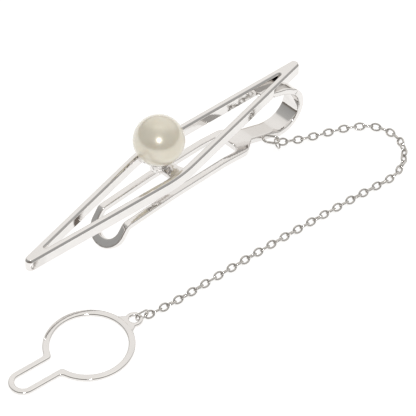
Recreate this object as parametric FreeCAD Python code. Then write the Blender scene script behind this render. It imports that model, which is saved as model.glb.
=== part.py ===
import FreeCAD, Part
import math
import os

# Pearl tie clip with a safety chain and button loop, in millimetres.
# It lies on its back on the surface z = 0, with the spring strip along X and its U-bend at +X.
# The front frame, crossbar, cup, post, pearl and the upper half of the U-bend open as one
# body about the crown of the bend. The chain and the button loop hang from the strip's edge.

# Front frame: an open lozenge of four straight rails, turned a little from the strip's line.
FRAME_TOP = 10.2             # height of the rails' upper face
RAIL_HEIGHT = 2.15
RAIL_WIDTH = 1.15
RAIL_BEVEL = 0.4             # bevel of the rails' upper edges
RAIL_FOOT = 0.15             # rounding of the rails' lower edges
APEX_REACH = 32.7            # centre to where the rails' centre lines meet at a sharp end
TIP_RADIUS = 0.84            # outer rounding of the two sharp ends
TIP_INNER_RADIUS = 0.14
CORNER_X = -1.39             # the two blunt corners, across the lozenge
CORNER_HALF_WIDTH = 4.25
CORNER_RADIUS = 24.0         # the rails run into each other in a soft bend there
FRAME_TURN = 2.8             # degrees about Z, from the strip's line

# Crossbar between the blunt corners, with the pearl's cup and post standing on it.
BAR_WIDTH = 2.6
BAR_SHIFT = 0.35             # its middle lies this far from the blunt corners, towards +X
BAR_BOTTOM = 8.7
BAR_TOP = 9.7
CUP_BOTTOM = 8.9
CUP_WAIST_RADIUS = 1.5
CUP_RIM_RADIUS = 2.15
CUP_RIM_Z = 11.25
LOBE_COUNT = 8
LOBE_RADIUS = 0.55
PEARL_DIAMETER = 8.4
PEARL_X = -1.56              # the pearl, its cup and its post share this centre
PEARL_Y = 0.16
PEARL_CENTRE_Z = 14.9
CEMENT_GAP = 0.05
POST_RADIUS = 0.45
POST_CLEARANCE = 0.02
POST_TOP = 13.6              # the post ends against the bottom of the pearl's drilled hole

# Spring strip: pad let into the frame's sharp end, U-bend, then the leg with its open loop
# and lip.
STRIP_THICKNESS = 1.1
BEND_X = 25.1                # centre of the U-bend
BEND_RADIUS = 4.55           # outer face
BEND_HALF_WIDTH = 1.85
PAD_OUTLINE = [(30.0, -BEND_HALF_WIDTH), (27.6, -BEND_HALF_WIDTH), (25.1, -1.08),
               (23.8, -0.52), (22.0, -0.83), (22.0, 2.4), (24.5, 2.4),
               (26.5, BEND_HALF_WIDTH), (30.0, BEND_HALF_WIDTH)]
NECK_HALF_WIDTH = 1.62
LEG_TOP = [(24.1, 1.1), (17.4, 3.65), (10.4, 4.7), (-1.5, 5.3), (-11.92, 5.3)]
LEG_TURN_RADII = [2.0, 8.0, 14.0, 40.0, 1.2]
CREASE_UNDER_RADIUS = 0.3    # the crease's inner side, under the lip
LIP_ANGLE = 52.0             # degrees by which the lip turns down towards the surface
LIP_CENTRE = 2.06            # crease to the centre of the loop's round end, along the lip
LOOP_OUTER = 3.475           # half widths of the leg's open loop
LOOP_INNER = 2.25
LIP_WEB = 0.46               # the loop is this much wider at the lip's end than at its sides
OPENING_END_X = 14.1
OPENING_CORNER = 1.3
LEG_OUTLINE = [(30.0, BEND_HALF_WIDTH), (24.2, BEND_HALF_WIDTH), (22.4, NECK_HALF_WIDTH),
               (17.6, NECK_HALF_WIDTH), (15.0, LOOP_OUTER), (-20.0, LOOP_OUTER)]

# Chain eyelet soldered to the strip's near edge, and the jump ring through it.
EYELET_CENTRE = (21.03, -2.76, 2.0)
EYELET_ANGLE = -44.2         # degrees, the oval's long axis
EYELET_LEAN = 12.0           # degrees, its outer end dips
EYELET_END_RADIUS = 0.8
EYELET_HALF_STRAIGHT = 0.55
EYELET_WIRE = 0.3
JUMP_RING_CENTRE = (21.39, -3.87, 1.53)
JUMP_RING_RADIUS = 0.85
JUMP_RING_WIRE = 0.26
JUMP_RING_ANGLE = 45.8       # degrees about Z
JUMP_RING_LEAN = 31.0        # degrees, its top leans towards the eyelet's middle

# Button loop: a flat ring with a slot on one side and an eyelet on the other. The slot's end
# rests on the surface and the eyelet's end is held up a little by the link through it.
RING_CENTRE = (-30.89, -14.81)
RING_OUTER = 7.26
RING_INNER = 6.14
RING_THICKNESS = 0.65
RING_EDGE = 0.2
KEYHOLE_FILLET = 0.8
LOOP_ANGLE = -7.5            # degrees, direction from the slot to the eyelet
LOOP_TILT = 1.8              # degrees
SLOT_REACH = 12.25           # ring centre to the centre of the slot's round end
SLOT_OUTER = 2.4
SLOT_INNER = 1.4
EYE_REACH = 8.6
EYE_OUTER = 1.45
EYE_INNER = 0.78
EYE_EDGE = 0.18

# Oval link between the chain and the button loop; it stands upright round the eyelet's bar.
LINK_END_RADIUS = 0.7
LINK_WIRE = 0.32
LINK_STRAIGHT = 0.9

# Chain: a plain tube of the chain's outer width. It hangs from the jump ring and then lies
# on the surface.
CHAIN_DIAMETER = 1.0
CHAIN_ROUTE = [
    (22.16, -3.68, 1.25), (24.45, -4.8, 0.8), (27.9, -6.2, 0.5), (33.4, -8.5, 0.5),
    (37.2, -11.6, 0.5), (37.8, -16.4, 0.5), (35.1, -20.2, 0.5), (30.7, -22.1, 0.5),
    (25.7, -21.3, 0.5), (17.8, -20.3, 0.5), (6.3, -19.0, 0.5), (-6.2, -17.9, 0.5),
    (-15.5, -17.25, 0.5), (-20.25, -16.28, 0.5),
]
ARC_SHARE = 0.45             # share of the shorter run that an arc's tangent takes

FRAME_BOTTOM = FRAME_TOP - RAIL_HEIGHT
SEAT = FreeCAD.Vector(PEARL_X, PEARL_Y, 0)
UP = FreeCAD.Vector(0, 0, 1)
TOOL_SIZE = 60.0             # larger than the whole leg, for cutting blocks


def vector(x, y, z=0.0):
    return FreeCAD.Vector(x, y, z)


def heading(degrees):
    """Unit vector on the surface at an angle from X."""
    return vector(math.cos(math.radians(degrees)), math.sin(math.radians(degrees)))


def line(start, end):
    return Part.LineSegment(start, end).toShape()


def prism(points, height):
    """Upright block on a closed outline of points."""
    outline = Part.makePolygon(list(points) + [points[0]])
    return Part.Face(outline).extrude(vector(0, 0, height))


def mirrored_prism(side, bottom, height):
    """Upright block, symmetric about Y = 0, from the points of its +Y side."""
    left = [vector(x, y, bottom) for x, y in side]
    right = [vector(x, -y, bottom) for x, y in reversed(side)]
    return prism(left + right, height)


def vertical_edges(solid):
    """Straight edges along Z."""
    edges = []
    for edge in solid.Edges:
        ends = edge.Vertexes
        if len(ends) == 2 and abs(abs(ends[0].Z - ends[1].Z) - edge.Length) < 1e-6:
            edges.append(edge)
    return edges


def edges_at_height(solid, z):
    return [edge for edge in solid.Edges
            if abs(edge.BoundBox.ZMin - z) < 1e-6 and abs(edge.BoundBox.ZMax - z) < 1e-6]


def rounded_path(points, radii):
    """Edges of straight runs through the points, with a tangent arc at each inner corner."""
    edges = []
    cursor = points[0]
    for before, corner, after, radius in zip(points, points[1:], points[2:], radii):
        inward = (corner - before).normalize()
        outward = (after - corner).normalize()
        half_turn = inward.getAngle(outward) / 2
        reach = radius * math.tan(half_turn)
        bisector = (outward - inward).normalize()
        arc_start = corner - inward * reach
        arc_end = corner + outward * reach
        arc_middle = corner + bisector * (radius / math.cos(half_turn) - radius)
        edges.append(line(cursor, arc_start))
        edges.append(Part.Arc(arc_start, arc_middle, arc_end).toShape())
        cursor = arc_end
    edges.append(line(cursor, points[-1]))
    return edges


def offset_path(points, distances, normal):
    """Points moved sideways by the given distances, with mitred corners, about a normal."""
    moved = []
    for index, point in enumerate(points):
        before = points[max(index - 1, 0)]
        after = points[min(index + 1, len(points) - 1)]
        inward = (point - before).normalize() if index else (after - point).normalize()
        outward = (after - point).normalize() if after != point else inward
        side = inward.cross(normal)
        mitre = (side + outward.cross(normal)).normalize()
        moved.append(point + mitre * (distances[index] / mitre.dot(side)))
    return moved


def oval_wire_ring(end_radius, half_straight, wire):
    """Ring of round wire bent to an oval in the XY plane, long along X."""
    right = vector(half_straight, 0)
    left = vector(-half_straight, 0)
    across = vector(0, end_radius)
    path = [Part.Arc(right - across, right + vector(end_radius, 0), right + across).toShape(),
            Part.Arc(left + across, left - vector(end_radius, 0), left - across).toShape()]
    if half_straight > 0:
        path.insert(1, line(right + across, left + across))
        path.append(line(left - across, right - across))
    circle = Part.Circle(right - across, vector(1, 0), wire / 2).toShape()
    return Part.Wire(path).makePipeShell([Part.Wire([circle])], True, True)


# ---- Front frame, crossbar and pearl setting, in the frame's own line ----

def lozenge(offset, tip_radius, corner_radius):
    """Block on the lozenge of centre lines moved outwards by offset, its corners rounded."""
    corners = [vector(APEX_REACH, 0), vector(CORNER_X, CORNER_HALF_WIDTH),
               vector(-APEX_REACH, 0), vector(CORNER_X, -CORNER_HALF_WIDTH)]
    moved = []
    for index, corner in enumerate(corners):
        inward = (corner - corners[index - 1]).normalize()
        outward = (corners[(index + 1) % 4] - corner).normalize()
        mitre = (inward.cross(UP) + outward.cross(UP)).normalize()
        moved.append(corner + mitre * (offset / mitre.dot(inward.cross(UP))))
    block = prism(moved, RAIL_HEIGHT)
    tips = [edge for edge in vertical_edges(block) if abs(edge.Vertexes[0].X) > APEX_REACH / 2]
    block = block.makeFillet(tip_radius, tips)
    blunt = [edge for edge in vertical_edges(block) if abs(edge.Vertexes[0].X) < APEX_REACH / 8]
    return block.makeFillet(corner_radius, blunt)


def make_front_frame():
    outer = lozenge(RAIL_WIDTH / 2, TIP_RADIUS, CORNER_RADIUS + RAIL_WIDTH / 2)
    inner = lozenge(-RAIL_WIDTH / 2, TIP_INNER_RADIUS, CORNER_RADIUS - RAIL_WIDTH / 2)
    frame = outer.cut(inner)
    frame = frame.makeChamfer(RAIL_BEVEL, edges_at_height(frame, RAIL_HEIGHT))
    frame = frame.makeFillet(RAIL_FOOT, edges_at_height(frame, 0))
    frame.translate(vector(0, 0, FRAME_BOTTOM))
    return frame


def make_crossbar(frame):
    bar = Part.makeBox(BAR_WIDTH, 2 * CORNER_HALF_WIDTH, BAR_TOP - BAR_BOTTOM)
    bar.translate(vector(CORNER_X + BAR_SHIFT - BAR_WIDTH / 2, -CORNER_HALF_WIDTH, BAR_BOTTOM))
    return bar.cut(frame)


def make_pearl_cup(bar):
    """Saddle on the crossbar, flaring to a lobed rim that holds the pearl."""
    height = CUP_RIM_Z - CUP_BOTTOM
    cup = Part.makeCone(CUP_WAIST_RADIUS, CUP_RIM_RADIUS, height, SEAT + UP * CUP_BOTTOM)
    for index in range(LOBE_COUNT):
        notch_angle = (index + 0.5) * 360 / LOBE_COUNT
        notch_centre = SEAT + heading(notch_angle) * (CUP_RIM_RADIUS + LOBE_RADIUS / 2)
        cup = cup.cut(Part.makeCylinder(LOBE_RADIUS, height, notch_centre + UP * BAR_TOP))
    cup = cup.cut(Part.makeSphere(PEARL_DIAMETER / 2 + CEMENT_GAP, pearl_centre()))
    cup = cup.cut(bar)
    hole = Part.makeCylinder(POST_RADIUS + POST_CLEARANCE, height, SEAT + UP * BAR_TOP)
    return cup.cut(hole)


def make_pearl_post():
    return Part.makeCylinder(POST_RADIUS, POST_TOP - BAR_TOP, SEAT + UP * BAR_TOP)


def pearl_centre():
    return SEAT + UP * PEARL_CENTRE_Z


def make_pearl():
    pearl = Part.makeSphere(PEARL_DIAMETER / 2, pearl_centre())
    bore = Part.makeCylinder(POST_RADIUS + POST_CLEARANCE, POST_TOP - BAR_TOP,
                             SEAT + UP * BAR_TOP)
    return pearl.cut(bore)


def front_group():
    frame = make_front_frame()
    bar = make_crossbar(frame)
    shapes = {
        "front_frame": frame,
        "crossbar": bar,
        "pearl_cup": make_pearl_cup(bar),
        "pearl_post": make_pearl_post(),
        "pearl": make_pearl(),
    }
    for shape in shapes.values():
        shape.rotate(vector(0, 0), UP, FRAME_TURN)
    return shapes


# ---- Spring strip ----

def half_bend(turn):
    """Quarter of the U-bend's tube from its crown down (turn 1) or up (turn -1)."""
    axis_start = vector(BEND_X, BEND_HALF_WIDTH, BEND_RADIUS)
    ring = Part.makeCylinder(BEND_RADIUS, 2 * BEND_HALF_WIDTH, axis_start, vector(0, -1, 0))
    bore = Part.makeCylinder(BEND_RADIUS - STRIP_THICKNESS, 2 * BEND_HALF_WIDTH, axis_start,
                             vector(0, -1, 0))
    low_z = 0.0 if turn > 0 else BEND_RADIUS
    quarter = Part.makeBox(BEND_RADIUS, 2 * BEND_HALF_WIDTH, BEND_RADIUS,
                           vector(BEND_X, -BEND_HALF_WIDTH, low_z))
    return ring.cut(bore).common(quarter)


def make_spring_pad():
    """Upper half of the U-bend, narrowing to the pad that is let into the frame's end."""
    pad_z = 2 * BEND_RADIUS - STRIP_THICKNESS
    pad = prism([vector(x, y, pad_z) for x, y in PAD_OUTLINE], STRIP_THICKNESS)
    pad = pad.common(Part.makeBox(BEND_X, TOOL_SIZE, TOOL_SIZE, vector(0, -TOOL_SIZE / 2, 0)))
    bend = Part.makeBox(TOOL_SIZE, 2 * TOOL_SIZE, TOOL_SIZE, vector(BEND_X, -TOOL_SIZE, 0))
    bend = bend.common(prism([vector(x, y) for x, y in PAD_OUTLINE], TOOL_SIZE))
    return half_bend(-1).common(bend).fuse(pad).removeSplitter()


def lip_direction():
    angle = math.radians(LIP_ANGLE)
    return vector(-math.cos(angle), 0, -math.sin(angle))


def leg_side_face():
    """Side view of the strip below the bend, from the bend's foot to beyond the lip."""
    crease = vector(LEG_TOP[-1][0], 0, LEG_TOP[-1][1])
    top = [vector(BEND_X, 0, STRIP_THICKNESS)]
    top += [vector(x, 0, z) for x, z in LEG_TOP]
    top.append(crease + lip_direction() * (LIP_CENTRE + LOOP_OUTER))
    bottom = offset_path(top, [STRIP_THICKNESS] * len(top), vector(0, 1, 0))
    lower_radii = [LEG_TURN_RADII[0] + STRIP_THICKNESS] + LEG_TURN_RADII[1:-1]
    lower_radii.append(CREASE_UNDER_RADIUS)
    edges = rounded_path(top, LEG_TURN_RADII)
    edges.append(line(top[-1], bottom[-1]))
    edges += rounded_path(bottom, lower_radii)
    edges.append(line(bottom[0], top[0]))
    return Part.Face(Part.Wire(Part.__sortEdges__(edges)))


def lip_tool(shape):
    """Place a cutting shape, made at the origin along -X, square to the lip at its centre."""
    shape.rotate(vector(0, 0), vector(0, 1, 0), -LIP_ANGLE)
    crease = vector(LEG_TOP[-1][0], 0, LEG_TOP[-1][1])
    shape.translate(crease + lip_direction() * LIP_CENTRE)
    return shape


def make_spring_leg():
    leg = leg_side_face().extrude(vector(0, 2 * LOOP_OUTER, 0))
    leg.translate(vector(0, -LOOP_OUTER, 0))
    leg = leg.common(mirrored_prism(LEG_OUTLINE, -TOOL_SIZE / 2, TOOL_SIZE))
    opening = Part.makeBox(OPENING_END_X - LEG_TOP[-1][0], 2 * LOOP_INNER, TOOL_SIZE,
                           vector(LEG_TOP[-1][0], -LOOP_INNER, -TOOL_SIZE / 2))
    corners = [edge for edge in vertical_edges(opening) if edge.Vertexes[0].X > 0]
    leg = leg.cut(opening.makeFillet(OPENING_CORNER, corners))
    depth = 4 * STRIP_THICKNESS
    base = vector(0, 0, -depth / 2)
    lip_slot = Part.makeBox(LIP_CENTRE + STRIP_THICKNESS, 2 * LOOP_INNER, depth,
                            vector(0, -LOOP_INNER, -depth / 2))
    lip_slot = lip_slot.fuse(Part.makeCylinder(LOOP_INNER, depth, base))
    lip_slot.translate(vector(LIP_WEB, 0, 0))
    leg = leg.cut(lip_tool(lip_slot))
    tip_waste = Part.makeBox(2 * LOOP_OUTER, 4 * LOOP_OUTER, depth,
                             vector(-2 * LOOP_OUTER, -2 * LOOP_OUTER, -depth / 2))
    tip_waste = tip_waste.cut(Part.makeCylinder(LOOP_OUTER, depth, base))
    leg = leg.cut(lip_tool(tip_waste))
    return leg.fuse(half_bend(1)).removeSplitter()


def make_chain_eyelet(leg):
    ring = oval_wire_ring(EYELET_END_RADIUS, EYELET_HALF_STRAIGHT, EYELET_WIRE)
    ring.rotate(vector(0, 0), vector(0, 1, 0), EYELET_LEAN)
    ring.rotate(vector(0, 0), UP, EYELET_ANGLE)
    ring.translate(vector(*EYELET_CENTRE))
    return ring.cut(leg)


# ---- Chain, its rings and the button loop ----

def upright_ring(end_radius, half_straight, wire, lean, angle, centre):
    """Wire ring standing along a heading, its top leaning to the left of that heading."""
    ring = oval_wire_ring(end_radius, half_straight, wire)
    ring.rotate(vector(0, 0), vector(1, 0, 0), 90 - lean)
    ring.rotate(vector(0, 0), UP, angle)
    ring.translate(centre)
    return ring


def make_clip_jump_ring():
    return upright_ring(JUMP_RING_RADIUS, 0, JUMP_RING_WIRE, JUMP_RING_LEAN, JUMP_RING_ANGLE,
                        vector(*JUMP_RING_CENTRE))


def make_chain():
    points = [vector(*point) for point in CHAIN_ROUTE]
    radii = []
    for before, corner, after in zip(points, points[1:], points[2:]):
        turn = (corner - before).getAngle(after - corner)
        shorter = min((corner - before).Length, (after - corner).Length)
        radii.append(ARC_SHARE * shorter / math.tan(turn / 2))
    print("chain: smallest bend radius", round(min(radii), 2))
    spine = Part.Wire(rounded_path(points, radii))
    start = Part.Circle(points[0], points[1] - points[0], CHAIN_DIAMETER / 2).toShape()
    tube = spine.makePipeShell([Part.Wire([start])], True, True)
    section = math.pi * CHAIN_DIAMETER ** 2 / 4
    print("chain: length", round(spine.Length, 2), "volume ratio",
          round(tube.Volume / (spine.Length * section), 4))
    return tube


def place_loop(shape):
    """Turn a part of the button loop, made about the ring's centre, to where it lies."""
    foot = vector(-SLOT_REACH - SLOT_OUTER, 0)
    shape.rotate(foot, vector(0, 1, 0), -LOOP_TILT)
    shape.rotate(vector(0, 0), UP, LOOP_ANGLE)
    shape.translate(vector(*RING_CENTRE))
    return shape


def keyhole(radius, slot_half_width, height):
    disc = Part.makeCylinder(radius, height)
    slot = Part.makeBox(SLOT_REACH, 2 * slot_half_width, height,
                        vector(-SLOT_REACH, -slot_half_width, 0))
    end = Part.makeCylinder(slot_half_width, height, vector(-SLOT_REACH, 0, 0))
    shape = disc.fuse([slot, end]).removeSplitter()
    joints = [edge for edge in vertical_edges(shape)
              if -radius < edge.Vertexes[0].X < -radius / 2]
    return shape.makeFillet(KEYHOLE_FILLET, joints)


def make_button_loop_flat():
    loop = keyhole(RING_OUTER, SLOT_OUTER, RING_THICKNESS)
    loop = loop.cut(keyhole(RING_INNER, SLOT_INNER, RING_THICKNESS))
    rims = edges_at_height(loop, 0) + edges_at_height(loop, RING_THICKNESS)
    return loop.makeFillet(RING_EDGE, rims)


def make_loop_eyelet_flat(loop):
    eyelet = Part.makeCylinder(EYE_OUTER, RING_THICKNESS, vector(EYE_REACH, 0, 0))
    eyelet = eyelet.cut(Part.makeCylinder(EYE_INNER, RING_THICKNESS, vector(EYE_REACH, 0, 0)))
    rims = edges_at_height(eyelet, 0) + edges_at_height(eyelet, RING_THICKNESS)
    return eyelet.makeFillet(EYE_EDGE, rims).cut(loop)


def loop_hinge_point():
    """Middle of the bar that closes the button loop's eyelet, where the link holds it."""
    bar = Part.Vertex(EYE_REACH + (EYE_OUTER + EYE_INNER) / 2, 0, RING_THICKNESS / 2)
    return place_loop(bar).Point


def make_loop_jump_ring():
    centre = loop_hinge_point() + heading(LOOP_ANGLE) * (LINK_STRAIGHT / 2)
    return upright_ring(LINK_END_RADIUS, LINK_STRAIGHT / 2, LINK_WIRE, 0, LOOP_ANGLE, centre)


def all_nodes():
    nodes = front_group()
    nodes["spring_pad"] = make_spring_pad()
    nodes["front_frame"] = nodes["front_frame"].cut(nodes["spring_pad"])
    nodes["spring_leg"] = make_spring_leg()
    nodes["chain_eyelet"] = make_chain_eyelet(nodes["spring_leg"])
    nodes["clip_jump_ring"] = make_clip_jump_ring()
    nodes["chain"] = make_chain()
    nodes["loop_jump_ring"] = make_loop_jump_ring()
    flat_loop = make_button_loop_flat()
    nodes["button_loop_eyelet"] = place_loop(make_loop_eyelet_flat(flat_loop))
    nodes["button_loop"] = place_loop(flat_loop)
    return nodes


os.makedirs("parts", exist_ok=True)
print("loop hinge", loop_hinge_point())
for node, shape in all_nodes().items():
    box = shape.BoundBox
    print(node, "valid" if shape.isValid() else "INVALID", len(shape.Solids), "solid,",
          round(shape.Volume, 3), "mm3, z", round(box.ZMin, 3), "to", round(box.ZMax, 3))
    shape.exportStep("parts/" + node + ".step")
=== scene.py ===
import bisect
import math
import random

import bmesh
import bpy
from mathutils import Matrix, Vector
from mathutils.geometry import delaunay_2d_cdt


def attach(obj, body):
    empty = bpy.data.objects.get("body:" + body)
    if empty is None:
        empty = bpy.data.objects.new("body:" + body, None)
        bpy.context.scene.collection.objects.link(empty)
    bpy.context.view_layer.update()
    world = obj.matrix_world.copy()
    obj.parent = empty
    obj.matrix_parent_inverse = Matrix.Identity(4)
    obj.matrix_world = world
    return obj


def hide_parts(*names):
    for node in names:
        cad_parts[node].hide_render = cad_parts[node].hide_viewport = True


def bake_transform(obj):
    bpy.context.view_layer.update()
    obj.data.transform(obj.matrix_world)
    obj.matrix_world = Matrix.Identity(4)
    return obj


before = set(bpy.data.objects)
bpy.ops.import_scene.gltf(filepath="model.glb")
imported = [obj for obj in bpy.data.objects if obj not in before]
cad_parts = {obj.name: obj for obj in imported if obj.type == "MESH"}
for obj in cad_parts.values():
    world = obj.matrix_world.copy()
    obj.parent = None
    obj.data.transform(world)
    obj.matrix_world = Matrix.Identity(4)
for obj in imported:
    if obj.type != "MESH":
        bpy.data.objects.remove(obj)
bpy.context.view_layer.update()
MM = 0.001                   # sizes and places are in millimetres, and Blender's in metres
SCENE = bpy.context.scene
UP = Vector((0, 0, 1))


# ---- Camera: a long lens, from above the clip's near side ----

CAMERA_PLACE = Vector((-236.2, -252.2, 344.15))
CAMERA_TARGET = Vector((3.46, -5.92, 0.5))
CAMERA_LENS = 259.6
SENSOR_WIDTH = 36.0


def make_camera():
    data = bpy.data.cameras.new("camera")
    data.lens = CAMERA_LENS
    data.sensor_width = SENSOR_WIDTH
    data.clip_start = 0.01
    camera = bpy.data.objects.new("camera", data)
    SCENE.collection.objects.link(camera)
    camera.location = CAMERA_PLACE * MM
    aim = CAMERA_TARGET * MM - camera.location
    camera.rotation_euler = aim.to_track_quat("-Z", "Y").to_euler()
    SCENE.camera = camera


make_camera()


# ---- Materials ----

def add_ramp(tree, source, stops):
    """A colour ramp fed by a socket, from (place, colour) stops."""
    node = tree.nodes.new("ShaderNodeValToRGB")
    elements = node.color_ramp.elements
    while len(elements) < len(stops):
        elements.new(0.5)
    for element, (place, colour) in zip(elements, stops):
        element.position = place
        element.color = (*colour, 1.0)
    tree.links.new(source, node.inputs["Fac"])
    return node.outputs["Color"]


class Shader:
    """A Principled material with small helpers for the nodes that feed it."""

    def __init__(self, name):
        self.material = bpy.data.materials.new(name)
        self.material.use_nodes = True
        self.tree = self.material.node_tree
        self.principled = self.tree.nodes["Principled BSDF"]
        self.position = self.tree.nodes.new("ShaderNodeTexCoord").outputs["Object"]

    def link(self, source, target):
        self.tree.links.new(source, target)

    def set(self, socket, value):
        self.principled.inputs[socket].default_value = value

    def feed(self, socket, source):
        """Links a node's output to one of the shader's own sockets."""
        self.link(source, self.principled.inputs[socket])

    def noise(self, scale, detail, stretch=None):
        """Noise over the object's own space; scale is in features per metre."""
        node = self.tree.nodes.new("ShaderNodeTexNoise")
        node.inputs["Scale"].default_value = scale
        node.inputs["Detail"].default_value = detail
        source = self.position
        if stretch:
            mapping = self.tree.nodes.new("ShaderNodeMapping")
            mapping.inputs["Scale"].default_value = stretch
            self.link(source, mapping.inputs["Vector"])
            source = mapping.outputs["Vector"]
        self.link(source, node.inputs["Vector"])
        return node.outputs["Fac"]

    def rescale(self, source, low, high):
        """Spreads a value of 0 to 1 from low to high."""
        node = self.tree.nodes.new("ShaderNodeMapRange")
        node.inputs["To Min"].default_value = low
        node.inputs["To Max"].default_value = high
        self.link(source, node.inputs["Value"])
        return node.outputs["Result"]

    def bump(self, source, strength, distance, normal=None):
        """A normal bent by the height in source, on top of another normal if one is given."""
        node = self.tree.nodes.new("ShaderNodeBump")
        node.inputs["Strength"].default_value = strength
        node.inputs["Distance"].default_value = distance
        self.link(source, node.inputs["Height"])
        if normal:
            self.link(normal, node.inputs["Normal"])
        return node.outputs["Normal"]


def polished_metal(name, tint, roughness, wear):
    """White precious metal, hand polished: fine hairlines, a soft unevenness and a little haze."""
    s = Shader(name)
    s.set("Metallic", 1.0)
    haze = s.noise(scale=260.0, detail=4.0)
    dark = tuple(c * 0.96 for c in tint)
    s.feed("Base Color", add_ramp(s.tree, haze, [(0.3, dark), (0.7, tint)]))
    smears = s.noise(scale=900.0, detail=5.0)
    s.feed("Roughness", s.rescale(smears, low=roughness * 0.7, high=roughness * 1.5))
    hairlines = s.noise(scale=5200.0, detail=2.0, stretch=(0.12, 1.0, 1.0))
    waves = s.noise(scale=170.0, detail=1.0)
    fine = s.bump(hairlines, strength=wear, distance=0.012 * MM)
    s.feed("Normal", s.bump(waves, strength=0.25 * wear, distance=0.05 * MM, normal=fine))
    return s.material


METAL = polished_metal("polished_metal", tint=(0.835, 0.815, 0.797), roughness=0.06, wear=0.25)
# The chain, its rings and the clip's eyelet are the same white metal as the rest: their darker tint
# is painted shade, for the shade among the small links.
CHAIN_METAL_PAINTED_SHADE = polished_metal("chain_metal_painted_shade", tint=(0.62, 0.60, 0.575), roughness=0.12, wear=0.35)


def make_pearl_material():
    """Cream nacre: a satin body with a metallic lustre under a clear, glossy skin."""
    s = Shader("pearl_nacre")
    clouds = s.noise(scale=180.0, detail=3.0)
    nacre = [(0.35, (0.74, 0.69, 0.565)), (0.65, (0.78, 0.735, 0.62))]
    s.feed("Base Color", add_ramp(s.tree, clouds, nacre))
    s.set("Metallic", 0.3)
    s.set("Subsurface Weight", 0.2)
    s.set("Subsurface Radius", (0.0012, 0.0009, 0.0006))
    s.set("Subsurface Scale", 1.0)
    s.set("Roughness", 0.3)
    s.set("Specular IOR Level", 0.6)
    s.set("Coat Weight", 1.0)
    s.set("Coat Roughness", 0.04)
    ripples = s.noise(scale=700.0, detail=2.0)
    s.feed("Normal", s.bump(ripples, strength=0.08, distance=0.04 * MM))
    return s.material


PEARL = make_pearl_material()


# ---- Mesh helpers: all sizes are in millimetres until make_object ----

WIRE_SIDES = 16              # round the wire of a ring or an eyelet


def clean_mesh(mesh, weld=0.0):
    """Turns the faces outwards, once the vertices nearer than weld metres are joined."""
    work = bmesh.new()
    work.from_mesh(mesh)
    if weld:
        bmesh.ops.remove_doubles(work, verts=work.verts, dist=weld)
    bmesh.ops.recalc_face_normals(work, faces=work.faces)
    work.to_mesh(mesh)
    work.free()


def make_object(name, vertices, faces, material):
    """A smoothly shaded object from vertices in millimetres."""
    mesh = bpy.data.meshes.new(name)
    mesh.from_pydata([Vector(v) * MM for v in vertices], [], faces)
    mesh.validate()
    clean_mesh(mesh)
    for polygon in mesh.polygons:
        polygon.use_smooth = True
    mesh.materials.append(material)
    piece = bpy.data.objects.new(name, mesh)
    SCENE.collection.objects.link(piece)
    return piece


def stand_in(piece, slot, *nodes):
    """Hides the CAD nodes that a piece stands for; the material slot is not used."""
    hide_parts(*nodes)


def ring_faces(first, second, count):
    """Quads between two closed loops of vertices that start at these numbers."""
    return [(first + i, first + (i + 1) % count, second + (i + 1) % count, second + i)
            for i in range(count)]


def swept_wire(centres, tangents, radius, sides):
    """Round wire along a closed loop in the XY plane. Returns vertices and faces."""
    vertices, faces = [], []
    count = len(centres)
    for centre, tangent in zip(centres, tangents):
        side = tangent.cross(UP).normalized()
        for k in range(sides):
            angle = 2 * math.pi * k / sides
            vertices.append(centre + side * (radius * math.cos(angle))
                            + UP * (radius * math.sin(angle)))
    for i in range(count):
        faces += ring_faces(i * sides, ((i + 1) % count) * sides, sides)
    return vertices, faces


def oval_path(end_radius, half_straight, steps):
    """Centre line of an oval in the XY plane, long along X: points and tangents. Without a
    straight it is a circle, whose two halves share their ends."""
    points, tangents = [], []
    count = steps + 1 if half_straight else steps
    for end, start in ((1, -90), (-1, 90)):
        for i in range(count):
            angle = math.radians(start + 180 * i / steps)
            outward = Vector((math.cos(angle), math.sin(angle), 0))
            points.append(Vector((half_straight * end, 0, 0)) + outward * end_radius)
            tangents.append(Vector((-outward.y, outward.x, 0)))
    return points, tangents


def ellipse_path(half_length, half_width, count):
    """Centre line of an ellipse in the XY plane, long along X: points and tangents."""
    angles = [2 * math.pi * i / count for i in range(count)]
    points = [Vector((half_length * math.cos(a), half_width * math.sin(a), 0)) for a in angles]
    tangents = [Vector((-half_length * math.sin(a), half_width * math.cos(a), 0)).normalized()
                for a in angles]
    return points, tangents


def make_oval_ring(name, end_radius, half_straight, wire, matrix, steps):
    """An oval or round ring of wire in the chain's metal, darkened with painted shade, put in its
    place by a matrix.
    """
    points, tangents = oval_path(end_radius, half_straight, steps)
    vertices, faces = swept_wire(points, tangents, wire / 2, WIRE_SIDES)
    return make_object(name, [matrix @ v for v in vertices], faces, CHAIN_METAL_PAINTED_SHADE)


def running_lengths(points):
    """The distance along a line of points, at each of them."""
    lengths = [0.0]
    for a, b in zip(points, points[1:]):
        lengths.append(lengths[-1] + (b - a).length)
    return lengths


# ---- Chain: separate links along the route, each turned a quarter from the last ----

CHAIN_ROUTE = [
    (22.16, -3.68, 1.25), (24.45, -4.8, 0.8), (27.9, -6.2, 0.5), (33.4, -8.5, 0.5),
    (37.2, -11.6, 0.5), (37.8, -16.4, 0.5), (35.1, -20.2, 0.5), (30.7, -22.1, 0.5),
    (25.7, -21.3, 0.5), (17.8, -20.3, 0.5), (6.3, -19.0, 0.5), (-6.2, -17.9, 0.5),
    (-15.5, -17.25, 0.5), (-20.25, -16.28, 0.5),
]
LINK_COUNT = 60
LINK_HALF_LENGTH = 0.82      # half axes of a link's elliptical centre line
LINK_HALF_WIDTH = 0.54
LINK_WIRE = 0.35
LINK_POINTS = 22             # round a link's centre line
LINK_SIDES = 10              # round its wire
LINK_ROLL = 45               # degrees to either side, link by link
ROLL_PLAY = 7                # degrees of chance in that
CHAIN_SEED = 7
FIRST_LINK = 0.55            # along the route, to the first link's centre
LAST_LINK = 0.75             # from the last link's centre to the route's end
LOOK_AHEAD = 0.5             # a link's direction is averaged with the route's this far on


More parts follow.
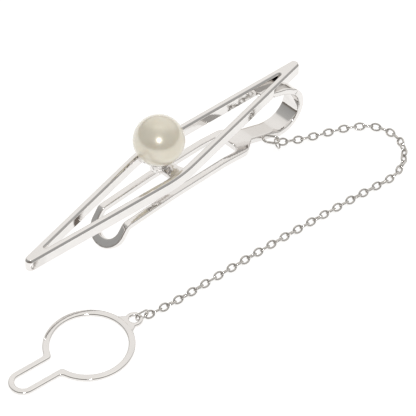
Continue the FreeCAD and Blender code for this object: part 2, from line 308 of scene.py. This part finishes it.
def route_points():
    """Points in metres along the route's smooth spline."""
    data = bpy.data.curves.new("chain_route", "CURVE")
    data.dimensions = "3D"
    data.resolution_u = 24
    spline = data.splines.new("NURBS")
    spline.points.add(len(CHAIN_ROUTE) - 1)
    for point, place in zip(spline.points, CHAIN_ROUTE):
        point.co = (*(Vector(place) * MM), 1.0)
    spline.order_u = 3
    spline.use_endpoint_u = True
    curve = bpy.data.objects.new("chain_route", data)
    SCENE.collection.objects.link(curve)
    bpy.context.view_layer.update()
    line = bpy.data.meshes.new_from_object(curve)
    points = [v.co.copy() for v in line.vertices]
    bpy.data.objects.remove(curve)
    return points


def walker(points):
    """A function giving the place and direction at a distance along points, and their length."""
    lengths = running_lengths(points)

    def at(distance):
        i = 0
        while i < len(points) - 2 and lengths[i + 1] < distance:
            i += 1
        direction = (points[i + 1] - points[i]).normalized()
        return points[i] + direction * (distance - lengths[i]), direction

    return at, lengths[-1]


def make_chain():
    """The links as one piece. Returns it, the route's points in metres and its length."""
    path = route_points()
    at, length = walker([p / MM for p in path])
    chance = random.Random(CHAIN_SEED)
    span = length - FIRST_LINK - LAST_LINK
    centres, tangents = ellipse_path(LINK_HALF_LENGTH, LINK_HALF_WIDTH, LINK_POINTS)
    link_vertices, link_faces = swept_wire(centres, tangents, LINK_WIRE / 2, LINK_SIDES)
    vertices, faces = [], []
    for i in range(LINK_COUNT):
        distance = FIRST_LINK + span * i / (LINK_COUNT - 1)
        place, here = at(distance)
        ahead = at(distance + LOOK_AHEAD)[1]
        along = (here + ahead).normalized()
        side = UP.cross(along).normalized()
        lean = LINK_ROLL if i % 2 == 0 else -LINK_ROLL
        roll = math.radians(lean + chance.uniform(-ROLL_PLAY, ROLL_PLAY))
        across = side * math.cos(roll) + along.cross(side) * math.sin(roll)
        matrix = Matrix((along, across, along.cross(across))).transposed().to_4x4()
        matrix.translation = place
        faces += [tuple(k + len(vertices) for k in face) for face in link_faces]
        vertices += [matrix @ v for v in link_vertices]
    links = make_object("chain_links", vertices, faces, CHAIN_METAL_PAINTED_SHADE)
    stand_in(links, "chain", "chain")
    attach(links, "safety_chain")
    return links, path, length


chain, chain_path, chain_length = make_chain()


# ---- The rings at the chain's two ends ----

RING_STEPS = 24              # round each half of a ring
CLIP_RING_CENTRE = Vector((21.39, -3.87, 1.53))
LOOP_ANGLE = -7.5            # the button loop's long axis, in degrees from X
LOOP_HEADING = Vector((math.cos(math.radians(LOOP_ANGLE)), math.sin(math.radians(LOOP_ANGLE)), 0))
LOOP_HINGE = Vector((-21.28, -16.075, 1.09))
LOOP_RING_HALF_STRAIGHT = 0.45


def make_ring(name, node, end_radius, half_straight, wire, lean, angle, centre):
    """A ring that leans back from upright by lean, with its long axis at angle from X."""
    matrix = (Matrix.Translation(centre) @ Matrix.Rotation(math.radians(angle), 4, "Z")
              @ Matrix.Rotation(math.radians(90 - lean), 4, "X"))
    ring = make_oval_ring(name, end_radius, half_straight, wire, matrix, RING_STEPS)
    stand_in(ring, "chain", node)
    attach(ring, "safety_chain")
    return ring


clip_ring = make_ring("clip_ring", "clip_jump_ring", end_radius=0.85, half_straight=0, wire=0.26,
                      lean=31.0, angle=45.8, centre=CLIP_RING_CENTRE)
loop_ring = make_ring("loop_ring", "loop_jump_ring", end_radius=0.7,
                      half_straight=LOOP_RING_HALF_STRAIGHT, wire=0.32, lean=0.0, angle=LOOP_ANGLE,
                      centre=LOOP_HINGE + LOOP_HEADING * LOOP_RING_HALF_STRAIGHT)


# ---- Plates: flat or bent sheet parts with openings and softly rounded edges ----

ARC_TURN = 8                 # degrees, the most that one step of an arc turns
CORNER_TURN = 0.14           # radians, about the same for a rounded corner of an outline
FEWEST_STEPS = 3             # of such a corner
CORNER_STEPS = 4             # of the small curve that softens a bevel's corner
STRAIGHT = 1e-4              # radians, a turn too small to round
GRID_CLEARANCE = 0.6         # of the grid's spacing, from its points to an outline
MERGE_DISTANCE = 1e-7        # points of a face nearer than this are one
WELD = 0.0004                # vertices nearer than this are one


def arc_points(centre, radius, start, end, step):
    """Points along an arc, angles in degrees, both ends included."""
    turn = end - start
    count = max(2, int(abs(math.radians(turn)) * radius / step) + 1, int(abs(turn) / ARC_TURN) + 1)
    angles = [math.radians(start + turn * i / count) for i in range(count + 1)]
    return [Vector((centre[0] + radius * math.cos(a), centre[1] + radius * math.sin(a)))
            for a in angles]


def corner_arc(before, corner, after, radius, fewest, widest_turn):
    """Points of the arc that rounds a corner and is tangent to its two runs."""
    inward = (corner - before).normalized()
    outward = (after - corner).normalized()
    turn = inward.angle_signed(outward, 0.0)
    if abs(turn) < STRAIGHT:
        return [corner]
    reach = radius * math.tan(abs(turn) / 2)
    middle = corner + (outward - inward).normalized() * (radius / math.cos(turn / 2))
    first = corner - inward * reach - middle
    steps = max(fewest, int(abs(turn) / widest_turn))
    return [middle + Matrix.Rotation(-turn * k / steps, 2) @ first for k in range(steps + 1)]


def rounded_outline(corners, step):
    """Closed outline through (x, y, radius) corners, each rounded by a tangent arc."""
    points = []
    places = [Vector(corner[:2]) for corner in corners]
    for i, corner in enumerate(places):
        radius = corners[i][2]
        if radius > 0:
            after = places[(i + 1) % len(places)]
            widest_turn = min(CORNER_TURN, step / radius)
            points += corner_arc(places[i - 1], corner, after, radius, FEWEST_STEPS,
                                 widest_turn)
        else:
            points.append(corner)
    return resample(points, step)


def resample(points, step, closed=True):
    """Adds points on the long runs of a closed outline, or of an open line."""
    ends = points[1:] + points[:1] if closed else points[1:]
    dense = []
    for a, b in zip(points, ends):
        pieces = max(1, int((b - a).length / step))
        dense += [a.lerp(b, i / pieces) for i in range(pieces)]
    return dense if closed else dense + points[-1:]


def area(points):
    return sum(a.cross(b) for a, b in zip(points, points[1:] + points[:1])) / 2


def outward_normals(points, hole):
    """Unit normals pointing out of the material, for a closed outline."""
    sign = (1 if area(points) > 0 else -1) * (-1 if hole else 1)
    normals = []
    for i in range(len(points)):
        along = (points[(i + 1) % len(points)] - points[i - 1]).normalized()
        normals.append(Vector((along.y, -along.x)) * sign)
    return normals


def inside(point, loops):
    """Even-odd test of a point against closed outlines."""
    crossings = 0
    for loop in loops:
        for a, b in zip(loop, loop[1:] + loop[:1]):
            if (a.y > point.y) != (b.y > point.y):
                if point.x < a.x + (point.y - a.y) * (b.x - a.x) / (b.y - a.y):
                    crossings += 1
    return crossings % 2 == 1


def grid_points(loops, spacing):
    """Staggered points between the outlines, clear of them all."""
    outline_points = [p for loop in loops for p in loop]
    xs = [p.x for p in loops[0]]
    ys = [p.y for p in loops[0]]
    clearance = (GRID_CLEARANCE * spacing) ** 2
    points = []
    for i in range(1, int((max(xs) - min(xs)) / spacing)):
        for k in range(1, int((max(ys) - min(ys)) / spacing)):
            stagger = 0.5 * (i % 2)
            point = Vector((min(xs) + i * spacing, min(ys) + (k + stagger) * spacing))
            near = min((point - q).length_squared for q in outline_points)
            if near > clearance and inside(point, loops):
                points.append(point)
    return points


def fill(loops, grid):
    """Triangles between the outlines, with a grid of points for the surface to bend on."""
    places = [p for loop in loops for p in loop]
    edges = []
    start = 0
    for loop in loops:
        edges += [(start + i, start + (i + 1) % len(loop)) for i in range(len(loop))]
        start += len(loop)
    if grid:
        places += grid_points(loops, grid)
    found = delaunay_2d_cdt(places, edges, [], 0, MERGE_DISTANCE)
    points, triangles = found[0], found[2]
    kept = [t for t in triangles
            if inside((points[t[0]] + points[t[1]] + points[t[2]]) / 3, loops)]
    return points, kept


def round_edge(radius, steps):
    """A quarter-round edge as (inset, drop) from the face to the side."""
    angles = [math.pi / 2 * k / steps for k in range(steps + 1)]
    return [(radius * (1 - math.sin(a)), radius * (1 - math.cos(a))) for a in angles]


def soft_corner(start, corner, end):
    """Curve from start to end that rounds the corner between them."""
    return [start * (1 - t) ** 2 + corner * (2 * t * (1 - t)) + end * t ** 2
            for t in (k / CORNER_STEPS for k in range(CORNER_STEPS + 1))]


def bevel_edge(width, depth, soft, crown):
    """A bevelled edge as (inset, drop), its corners a little rounded and its face crowned."""
    face, side = Vector((width, 0)), Vector((0, depth))
    slope = (side - face).normalized() * soft
    crown_start = Vector((width + 2 * soft, -crown))
    points = soft_corner(crown_start, face, face + slope)
    return points + soft_corner(side - slope, side, side + Vector((0, soft)))


def plate(name, outlines, thickness, top_edge, bottom_edge, surface, grid=0.0):
    """A sheet part. outlines[0] is its edge and the others are holes; surface(x, y, depth)
    puts a point of the flat pattern, and a depth below its top, in its place. The edges are
    (inset, drop) pairs, from the face to the side."""
    vertices, faces = [], []
    normals = [outward_normals(loop, i > 0) for i, loop in enumerate(outlines)]

    def inset(amount):
        return [[p - n * amount for p, n in zip(loop, loop_normals)]
                for loop, loop_normals in zip(outlines, normals)]

    def add_face_sheet(amount, depth):
        points, triangles = fill(inset(amount), grid)
        base = len(vertices)
        vertices.extend(surface(p.x, p.y, depth) for p in points)
        faces.extend(tuple(base + k for k in t) for t in triangles)

    levels = list(top_edge)
    levels += [(amount, thickness - drop) for amount, drop in reversed(bottom_edge)]
    add_face_sheet(*levels[0])
    for loop, loop_normals in zip(outlines, normals):
        previous = None
        for amount, depth in levels:
            start = len(vertices)
            for p, n in zip(loop, loop_normals):
                q = p - n * amount
                vertices.append(surface(q.x, q.y, depth))
            if previous is not None:
                faces.extend(ring_faces(previous, start, len(loop)))
            previous = start
    add_face_sheet(*levels[-1])
    piece = make_object(name, vertices, faces, METAL)
    clean_mesh(piece.data, WELD * MM)
    weigh = piece.modifiers.new("crisp_shading", "WEIGHTED_NORMAL")
    weigh.keep_sharp = True
    weigh.weight = 80
    return piece


# ---- Front frame: an open lozenge ----

FRAME_TOP = 10.2
FRAME_TURN = math.radians(2.8)
RAIL_HEIGHT = 2.15
RAIL_WIDTH = 1.15
APEX_REACH = 32.7
APEX_OUTER_RADIUS = 0.84
APEX_INNER_RADIUS = 0.14
CORNER_X = -1.39             # the two blunt corners
CORNER_HALF_WIDTH = 4.25
CORNER_RADIUS = 24.0


def turned(x, y, z):
    """A point of the front's own drawing, turned as the front is."""
    c, s = math.cos(FRAME_TURN), math.sin(FRAME_TURN)
    return Vector((x * c - y * s, x * s + y * c, z))


def lozenge(offset, tip_radius):
    """Outline of the lozenge of the rails' centre lines, moved outwards."""
    corners = [Vector((APEX_REACH, 0)), Vector((CORNER_X, CORNER_HALF_WIDTH)),
               Vector((-APEX_REACH, 0)), Vector((CORNER_X, -CORNER_HALF_WIDTH))]
    moved = []
    for i, corner in enumerate(corners):
        inward = (corner - corners[i - 1]).normalized()
        outward = (corners[(i + 1) % 4] - corner).normalized()
        side = Vector((inward.y, -inward.x))
        mitre = (side + Vector((outward.y, -outward.x))).normalized()
        place = corner + mitre * (offset / mitre.dot(side))
        moved.append((place.x, place.y, CORNER_RADIUS + offset if i % 2 else tip_radius))
    return rounded_outline(moved, step=0.7)


def make_front_frame():
    outlines = [lozenge(RAIL_WIDTH / 2, APEX_OUTER_RADIUS),
                lozenge(-RAIL_WIDTH / 2, APEX_INNER_RADIUS)]
    top_edge = bevel_edge(width=0.25, depth=0.33, soft=0.06, crown=0.03)
    bottom_edge = round_edge(radius=0.15, steps=4)
    piece = plate("front_frame_polished", outlines, RAIL_HEIGHT, top_edge, bottom_edge,
                  lambda x, y, depth: turned(x, y, FRAME_TOP - depth))
    stand_in(piece, "front_frame", "front_frame")
    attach(piece, "front")


make_front_frame()


# ---- Spring strip: one bent sheet from the pad under the frame to the lip ----

STRIP_THICKNESS = 1.1
BEND_X = 25.1
BEND_Z = 4.55                # also the bend's outer radius
BEND_HALF_WIDTH = 1.85
NECK_HALF_WIDTH = 1.62
PAD_END_X = 22.0
FOOT_X = 24.1                # where the leg starts to climb
LEG_TOP = [(FOOT_X, STRIP_THICKNESS, 2.0), (17.4, 3.65, 8.0), (10.4, 4.7, 14.0),
           (-1.5, 5.3, 40.0), (-11.92, 5.3, 1.2)]
LIP_ANGLE = math.radians(52.0)
LIP_CENTRE = 2.06            # from the crease to the middle of the loop's round end
LIP_WEB = 0.46               # the opening's round end is centred this much nearer to the crease
LOOP_OUTER = 3.475           # half widths of the leg's loop and of its opening
LOOP_INNER = 2.25
STRAIGHT_GAP = 0.001         # left between the two quarter circles of a round end
STRIP_STEP = 0.3             # between the points of the flat pattern's edges
STRIP_GRID = 0.28            # between the points on its faces
PROFILE_STEP = 0.15          # between the points of its side view
PROFILE_TURN = 0.05          # radians, about the most that a step of its corners turns
PROFILE_FEWEST_STEPS = 6


def strip_profile():
    """Side view of the strip's inner and upper face as points, from the pad's end to the lip."""
    crease = Vector(LEG_TOP[-1][:2])
    down_lip = Vector((-math.cos(LIP_ANGLE), -math.sin(LIP_ANGLE)))
    lip_end = crease + down_lip * (LIP_CENTRE + LOOP_OUTER + 1)
    inner = BEND_Z - STRIP_THICKNESS
    points = [Vector((PAD_END_X, BEND_Z + inner))]
    points += arc_points((BEND_X, BEND_Z), inner, 90, -90, step=0.1)
    line = points[-1:] + [Vector(corner[:2]) for corner in LEG_TOP] + [lip_end]
    for i, (_, _, radius) in enumerate(LEG_TOP):
        points += corner_arc(line[i], line[i + 1], line[i + 2], radius, PROFILE_FEWEST_STEPS,
                             PROFILE_TURN)
    return resample(points + [lip_end], PROFILE_STEP, closed=False)


PROFILE = strip_profile()
PROFILE_S = running_lengths(PROFILE)


def profile_at(s):
    """Place and upward normal on the strip's side view at an arc length."""
    low = min(max(bisect.bisect_right(PROFILE_S, s) - 1, 0), len(PROFILE) - 2)
    run = PROFILE_S[low + 1] - PROFILE_S[low]
    share = (s - PROFILE_S[low]) / run if run > 0 else 0.0
    place = PROFILE[low].lerp(PROFILE[low + 1], share)
    before = PROFILE[max(low - 1, 0)]
    after = PROFILE[min(low + 2, len(PROFILE) - 1)]
    first = (PROFILE[low + 1] - before).normalized()
    second = (after - PROFILE[low]).normalized()
    along = first.lerp(second, share).normalized()
    return place, Vector((along.y, -along.x))


def leg_s(x):
    """Arc length at which the leg's upper face reaches x, past the bend."""
    start = next(i for i, p in enumerate(PROFILE) if p.y < BEND_Z and p.x <= BEND_X)
    for i in range(start, len(PROFILE) - 1):
        if PROFILE[i + 1].x <= x:
            run = PROFILE[i].x - PROFILE[i + 1].x
            share = (PROFILE[i].x - x) / run if run > 0 else 0.0
            return PROFILE_S[i] + share * (PROFILE_S[i + 1] - PROFILE_S[i])
    return PROFILE_S[-1]


def bend_s(x):
    """Arc length at which the upper half of the bend reaches x in plan."""
    mean_radius = BEND_Z - STRIP_THICKNESS / 2
    return BEND_X - PAD_END_X + (BEND_Z - STRIP_THICKNESS) * math.asin((x - BEND_X) / mean_radius)


def strip_surface(s, y, depth):
    place, normal = profile_at(s)
    spot = place - normal * depth
    return Vector((spot.x, y, spot.y))


def strip_outlines():
    """The strip's flat pattern and its opening, as (arc length, side, corner radius) corners."""
    far_side = [(0.0, 2.4, 0.3), (2.5, 2.4, 1.0), (bend_s(26.5), BEND_HALF_WIDTH, 2.0)]
    near_side = [(bend_s(27.6), -BEND_HALF_WIDTH, 2.0), (bend_s(25.1), -1.08, 1.5),
                 (1.8, -0.52, 1.0), (0.0, -0.83, 0.3)]
    neck = [(leg_s(FOOT_X), BEND_HALF_WIDTH, 2.0), (leg_s(22.4), NECK_HALF_WIDTH, 3.0),
            (leg_s(17.7), NECK_HALF_WIDTH, 0.9), (leg_s(15.1), LOOP_OUTER, 2.2)]
    centre = leg_s(LEG_TOP[-1][0]) + LIP_CENTRE
    round_end = [(centre + LOOP_OUTER, LOOP_OUTER, LOOP_OUTER - STRAIGHT_GAP),
                 (centre + LOOP_OUTER, -LOOP_OUTER, LOOP_OUTER - STRAIGHT_GAP)]
    neck_back = [(s, -y, radius) for s, y, radius in reversed(neck)]
    start = leg_s(14.1)
    end = centre - LIP_WEB + LOOP_INNER
    opening = [(start, LOOP_INNER, 1.3), (end, LOOP_INNER, LOOP_INNER - STRAIGHT_GAP),
               (end, -LOOP_INNER, LOOP_INNER - STRAIGHT_GAP), (start, -LOOP_INNER, 1.3)]
    return [rounded_outline(far_side + neck + round_end + neck_back + near_side, STRIP_STEP),
            rounded_outline(opening, STRIP_STEP)]


def make_strip():
    edge = round_edge(radius=0.2, steps=4)
    piece = plate("spring_strip", strip_outlines(), STRIP_THICKNESS, edge, edge, strip_surface,
                  STRIP_GRID)
    stand_in(piece, "spring_strip", "spring_leg", "spring_pad")
    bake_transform(piece)


make_strip()


# ---- Button loop, its eyelet, and the chain's eyelet on the strip ----

RING_CENTRE = Vector((-30.89, -14.81))
RING_OUTER = 7.26
RING_INNER = 6.14
SLOT_OUTER = 2.4             # half widths of the slot, outside and inside
SLOT_INNER = 1.4
SLOT_REACH = 12.25           # from the ring's centre to that of the slot's round end
SLOT_FILLET = 0.8
LOOP_TILT = math.radians(1.8)
LOOP_THICKNESS = 0.65
EYE_REACH = 8.6
EYE_OUTER = 1.45
EYE_HOLE = 0.78
EYE_SWEEP = 115              # degrees of the eyelet's outer edge each side, up to its solder web
HOLE_SWEEP = 351             # degrees of the hole's edge, which its last run closes
EYE_DROP = 0.02              # the eyelet's face lies this far below the ring's
CLIP_EYELET_CENTRE = Vector((21.03, -2.76, 2.0))
CLIP_EYELET_ANGLE = math.radians(-44.2)
CLIP_EYELET_DIP = math.radians(12.0)


def loop_surface(x, y, depth):
    """From the loop's own flat pattern to where it lies, tilted up from its slot's end."""
    foot = -SLOT_REACH - SLOT_OUTER
    z = LOOP_THICKNESS - depth
    along = foot + (x - foot) * math.cos(LOOP_TILT) - z * math.sin(LOOP_TILT)
    up = (x - foot) * math.sin(LOOP_TILT) + z * math.cos(LOOP_TILT)
    c, s = LOOP_HEADING.x, LOOP_HEADING.y
    return Vector((RING_CENTRE.x + along * c - y * s, RING_CENTRE.y + along * s + y * c, up))


def keyhole(radius, half_width):
    """Outline of a ring with a slot towards -X, with a small fillet where they meet."""
    fillet_y = half_width + SLOT_FILLET
    fillet_x = -math.sqrt((radius + SLOT_FILLET) ** 2 - fillet_y ** 2)
    meet = math.degrees(math.atan2(fillet_y, fillet_x))
    points = arc_points((0, 0), radius, -meet, meet, step=0.4)
    points += arc_points((fillet_x, fillet_y), SLOT_FILLET, meet - 180, -90, step=0.1)[1:]
    points += arc_points((-SLOT_REACH, 0), half_width, 90, 270, step=0.25)
    points += arc_points((fillet_x, -fillet_y), SLOT_FILLET, 90, 180 - meet, step=0.1)[:-1]
    return resample(points, step=0.8)


def make_button_loop():
    edge = round_edge(radius=0.24, steps=5)
    outlines = [keyhole(RING_OUTER, SLOT_OUTER), keyhole(RING_INNER, SLOT_INNER)]
    loop = plate("button_loop_polished", outlines, LOOP_THICKNESS, edge, edge, loop_surface)
    stand_in(loop, "button_loop", "button_loop")
    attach(loop, "button_toggle")


def make_loop_eyelet():
    edge = round_edge(radius=0.22, steps=5)
    web = [Vector((6.75, 2.1)), Vector((6.65, 0)), Vector((6.75, -2.1))]
    rim = arc_points((EYE_REACH, 0), EYE_OUTER, -EYE_SWEEP, EYE_SWEEP, step=0.15)
    hole = arc_points((EYE_REACH, 0), EYE_HOLE, 0, HOLE_SWEEP, step=0.15)
    outlines = [resample(rim + web, step=0.3), hole]
    eyelet = plate("button_loop_eye", outlines, LOOP_THICKNESS, edge, edge,
                   lambda x, y, depth: loop_surface(x, y, depth + EYE_DROP))
    stand_in(eyelet, "button_loop", "button_loop_eyelet")
    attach(eyelet, "button_toggle")


def make_clip_eyelet():
    matrix = (Matrix.Translation(CLIP_EYELET_CENTRE) @ Matrix.Rotation(CLIP_EYELET_ANGLE, 4, "Z")
              @ Matrix.Rotation(CLIP_EYELET_DIP, 4, "Y"))
    eyelet = make_oval_ring("clip_eyelet", end_radius=0.8, half_straight=0.55, wire=0.44,
                            matrix=matrix, steps=20)
    stand_in(eyelet, "chain", "chain_eyelet")
    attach(eyelet, "back")


make_button_loop()
make_loop_eyelet()
make_clip_eyelet()


# ---- Crossbar, cup and pearl ----

BAR_TOP = 9.7
BAR_THICKNESS = 1.0
BAR_SHIFT = 0.35             # along the frame, from its blunt corners
BAR_HALF_WIDTH = 1.3
BAR_WAIST_REACH = 2.4        # half the length of its straight middle
BAR_REACH = 3.95
BAR_FLARE = 0.45             # how much each end spreads to each side
BAR_FILLET = 1.2
PEARL_X = -1.56              # the pearl and its cup share this centre
PEARL_Y = 0.16
PEARL_CENTRE_Z = 14.9
PEARL_RADIUS = 4.2
PEARL_SWELL = 0.0025         # shares of the radius: a real pearl is a little out of round
PEARL_FLATTENING = 0.002
CUP_SIDES = 96
CUP_ROWS = 14
CUP_BOTTOM = 8.9
CUP_RIM_Z = 11.25
CUP_RIM_RADIUS = 2.12
CUP_FOOT_RADIUS = 1.6
CUP_FOOT = [(0.5, 0.02), (1.45, 0.02), (CUP_FOOT_RADIUS, 0.15)]    # (radius, height) pairs
CUP_SEAT = [(2.0, 1), (1.6, 0), (1.1, 0), (0.5, 0)]                # (radius, scallop) pairs
CUP_WALL_Z = (CUP_BOTTOM + 0.3, CUP_RIM_Z - 0.05)
CUP_WAIST = 0.16             # how far the wall pulls in above its foot
CUP_WAIST_END = 0.625        # share of the wall's height where the waist ends
CUP_FLARE = 0.66             # how far it spreads up to its rim
CUP_GAP = 0.03               # between the seat and the pearl
CUP_LIP = 0.03               # from the rim's level up to its edge
SCALLOPS = 8
SCALLOP_INSET = 0.3
SCALLOP_DROP = 0.5
SCALLOP_START = 0.25         # share of the wall's height where the scallops begin


def make_crossbar():
    half, wide, fillet = BAR_HALF_WIDTH, BAR_HALF_WIDTH + BAR_FLARE, BAR_FILLET
    waist, reach = BAR_WAIST_REACH, BAR_REACH
    outline = [(-half, -waist, fillet), (-half, waist, fillet), (-wide, reach, 0), (wide, reach, 0),
               (half, waist, fillet), (half, -waist, fillet), (wide, -reach, 0), (-wide, -reach, 0)]
    middle = CORNER_X + BAR_SHIFT
    piece = plate("crossbar_polished", [rounded_outline(outline, step=0.3)], BAR_THICKNESS,
                  round_edge(radius=0.22, steps=4), round_edge(radius=0.1, steps=4),
                  lambda x, y, depth: turned(middle + x, y, BAR_TOP - depth))
    stand_in(piece, "front_frame", "crossbar")
    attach(piece, "front")


def cup_loop(radius, z, scallop):
    """One loop of the cup's points, from plain, at a scallop of 0, to the rim's, at 1."""
    points = []
    for k in range(CUP_SIDES):
        angle = 2 * math.pi * k / CUP_SIDES
        dip = scallop * (0.5 - 0.5 * math.cos(SCALLOPS * angle))
        r = radius - SCALLOP_INSET * dip
        points.append(turned(PEARL_X + r * math.cos(angle), PEARL_Y + r * math.sin(angle),
                             z - SCALLOP_DROP * dip))
    return points


def make_cup():
    """Flaring saddle with a scalloped rim that follows the pearl."""
    loops = [cup_loop(radius, CUP_BOTTOM + height, 0) for radius, height in CUP_FOOT]
    low, high = CUP_WALL_Z
    for k in range(CUP_ROWS + 1):
        t = k / CUP_ROWS
        waist = CUP_WAIST * math.sin(math.pi * min(t / CUP_WAIST_END, 1.0))
        scallop = max(0.0, (t - SCALLOP_START) / (1 - SCALLOP_START))
        radius = CUP_FOOT_RADIUS - waist + CUP_FLARE * t ** 2
        loops.append(cup_loop(radius, low + (high - low) * t, scallop))
    loops.append(cup_loop(CUP_RIM_RADIUS, CUP_RIM_Z + CUP_LIP, 1))
    for radius, scallop in CUP_SEAT:
        seat = PEARL_CENTRE_Z - math.sqrt((PEARL_RADIUS + CUP_GAP) ** 2 - radius ** 2)
        loops.append(cup_loop(radius, seat, scallop))
    faces = []
    for row in range(len(loops) - 1):
        faces += ring_faces(row * CUP_SIDES, (row + 1) * CUP_SIDES, CUP_SIDES)
    vertices = [point for loop in loops for point in loop]
    cup = make_object("pearl_cup_polished", vertices, faces, METAL)
    stand_in(cup, "setting", "pearl_cup")
    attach(cup, "front")


def make_pearl():
    """Round pearl, very slightly off round."""
    bpy.ops.mesh.primitive_uv_sphere_add(segments=96, ring_count=64, radius=PEARL_RADIUS * MM)
    pearl = bpy.context.object
    pearl.name = "pearl_nacre"
    pearl.data.name = "pearl_nacre"
    centre = turned(PEARL_X, PEARL_Y, PEARL_CENTRE_Z) * MM
    for vertex in pearl.data.vertices:
        d = vertex.co.normalized()
        swell = PEARL_SWELL * math.sin(3 * d.x + 1.0) * math.cos(2 * d.y)
        vertex.co = vertex.co * (1 + swell - PEARL_FLATTENING * abs(d.z)) + centre
    for polygon in pearl.data.polygons:
        polygon.use_smooth = True
    pearl.data.materials.append(PEARL)
    stand_in(pearl, "pearl", "pearl")
    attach(pearl, "front")


make_crossbar()
make_cup()
make_pearl()
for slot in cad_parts["pearl_post"].material_slots:
    slot.material = METAL


# ---- Studio: a white floor, a softbox beyond the clip and a small key light ----

SOFTBOX = (0.6, 0.45, 0.66)  # direction of the softbox's middle
WORLD_STRENGTH = 1.35
MIX_A, MIX_B, MIX_RESULT = 6, 7, 2    # a Mix node's colour sockets
GLOW = [(0.10, (0.11, 0.085, 0.07)), (0.34, (0.21, 0.185, 0.165)), (0.46, (0.38, 0.38, 0.375)),
        (0.80, (0.49, 0.485, 0.475)), (0.87, (0.89, 0.875, 0.855)), (1.0, (0.97, 0.955, 0.935))]
HORIZON = [(0.0, (0.33, 0.29, 0.245)), (0.08, (0.445, 0.41, 0.37)), (0.19, (0.74, 0.74, 0.74)),
           (0.88, (0.74, 0.74, 0.74)), (0.94, (1.0, 1.0, 0.98))]


def make_floor():
    work = bmesh.new()
    bmesh.ops.create_grid(work, x_segments=1, y_segments=1, size=3.0)
    mesh = bpy.data.meshes.new("floor")
    work.to_mesh(mesh)
    work.free()
    s = Shader("floor_white")
    s.set("Base Color", (0.45, 0.45, 0.45, 1.0))
    s.set("Roughness", 0.7)
    s.set("Emission Color", (1.0, 1.0, 1.0, 1.0))
    s.set("Emission Strength", 0.70)
    mesh.materials.append(s.material)
    floor = bpy.data.objects.new("floor", mesh)
    SCENE.collection.objects.link(floor)


def make_world():
    """Light from all round: brightest towards the softbox, and dimmer low over the horizon."""
    world = bpy.data.worlds.new("studio")
    world.use_nodes = True
    SCENE.world = world
    tree = world.node_tree
    direction = tree.nodes.new("ShaderNodeTexCoord").outputs["Generated"]
    towards = tree.nodes.new("ShaderNodeVectorMath")
    towards.operation = "DOT_PRODUCT"
    towards.inputs[1].default_value = SOFTBOX
    tree.links.new(direction, towards.inputs[0])
    lift = tree.nodes.new("ShaderNodeMapRange")
    lift.inputs["From Min"].default_value = -1.0
    tree.links.new(towards.outputs["Value"], lift.inputs["Value"])
    split = tree.nodes.new("ShaderNodeSeparateXYZ")
    tree.links.new(direction, split.inputs["Vector"])
    both = tree.nodes.new("ShaderNodeMix")
    both.data_type = "RGBA"
    both.blend_type = "MULTIPLY"
    both.inputs["Factor"].default_value = 1.0
    tree.links.new(add_ramp(tree, lift.outputs["Result"], GLOW), both.inputs[MIX_A])
    tree.links.new(add_ramp(tree, split.outputs["Z"], HORIZON), both.inputs[MIX_B])
    background = tree.nodes["Background"]
    tree.links.new(both.outputs[MIX_RESULT], background.inputs["Color"])
    background.inputs["Strength"].default_value = WORLD_STRENGTH


def make_light(name, direction, distance, size, power):
    """Round soft light, aimed at the clip."""
    data = bpy.data.lights.new(name, "AREA")
    data.shape = "DISK"
    data.energy = power
    data.size = size
    light = bpy.data.objects.new(name, data)
    light.location = Vector(direction).normalized() * distance
    light.rotation_euler = (-light.location).to_track_quat("-Z", "Y").to_euler()
    SCENE.collection.objects.link(light)


make_floor()
make_world()
make_light("key", direction=(-0.485, -0.518, 0.705), distance=0.9, size=0.10, power=2.4)
SCENE.view_settings.view_transform = "Standard"
